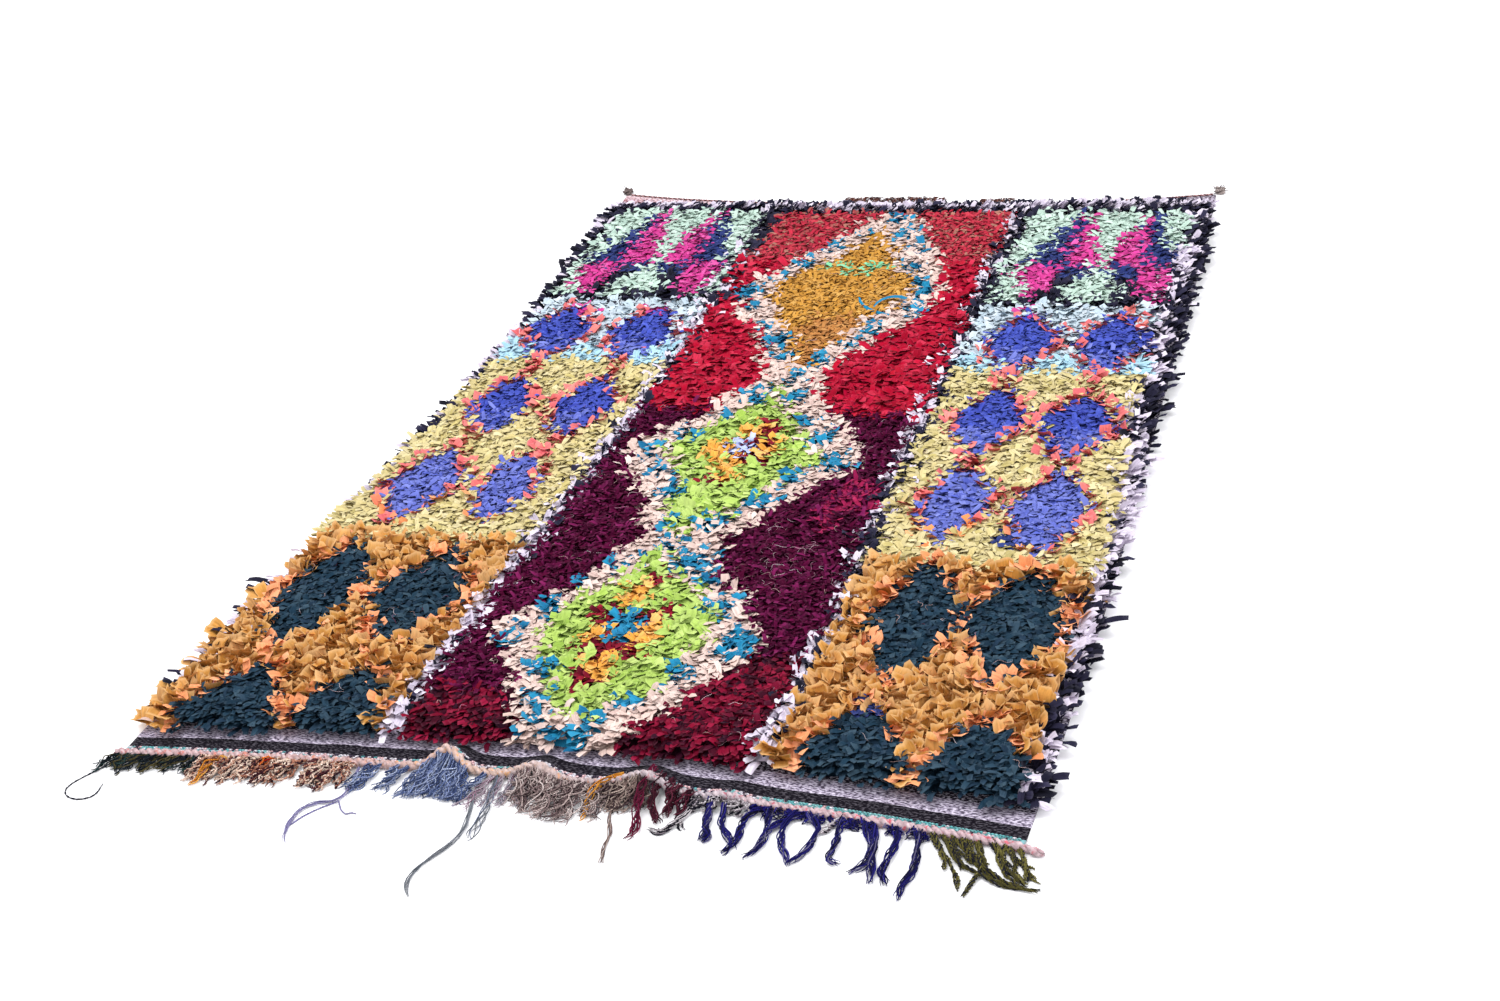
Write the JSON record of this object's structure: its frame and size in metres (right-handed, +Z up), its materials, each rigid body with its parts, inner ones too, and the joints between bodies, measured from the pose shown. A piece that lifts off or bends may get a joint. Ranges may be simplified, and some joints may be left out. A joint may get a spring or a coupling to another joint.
{
  "type": "boucherouite rug",
  "caption": "Hand-knotted rag rug lying flat: thick shaggy pile on a woven ground, flat-woven ends, a twined cord and a loose yarn fringe along the near end",
  "frame": {"origin": "on the floor, at the middle of the ground cloth's underside", "axes": "+X to the right seen from the fringed near end, +Y along the rug towards its far end, +Z up"},
  "size_m": [1.6121, 2.643, 0.0432],
  "materials": {
    "grey_black_weave": "matt wool weave in grey, black and teal stripes",
    "mixed_rags": "knotted strips of old cloth in many colours, in a diamond pattern",
    "pink_wool": "plied pink wool with red flecks",
    "brown_wool": "fuzzy brown wool",
    "fringe_yarn": "loose wool yarns in runs of many colours",
    "grey_wool": "knotted grey warp ends"
  },
  "bodies": {
    "root": {"ground_cloth": "grey_black_weave", "rag_pile": "mixed_rags", "near_cord": "pink_wool", "far_cord": "brown_wool", "near_fringe": "fringe_yarn", "far_fringe": "brown_wool", "corner_knot_left": "grey_wool", "corner_knot_right": "grey_wool"}
  },
  "joints": []
}
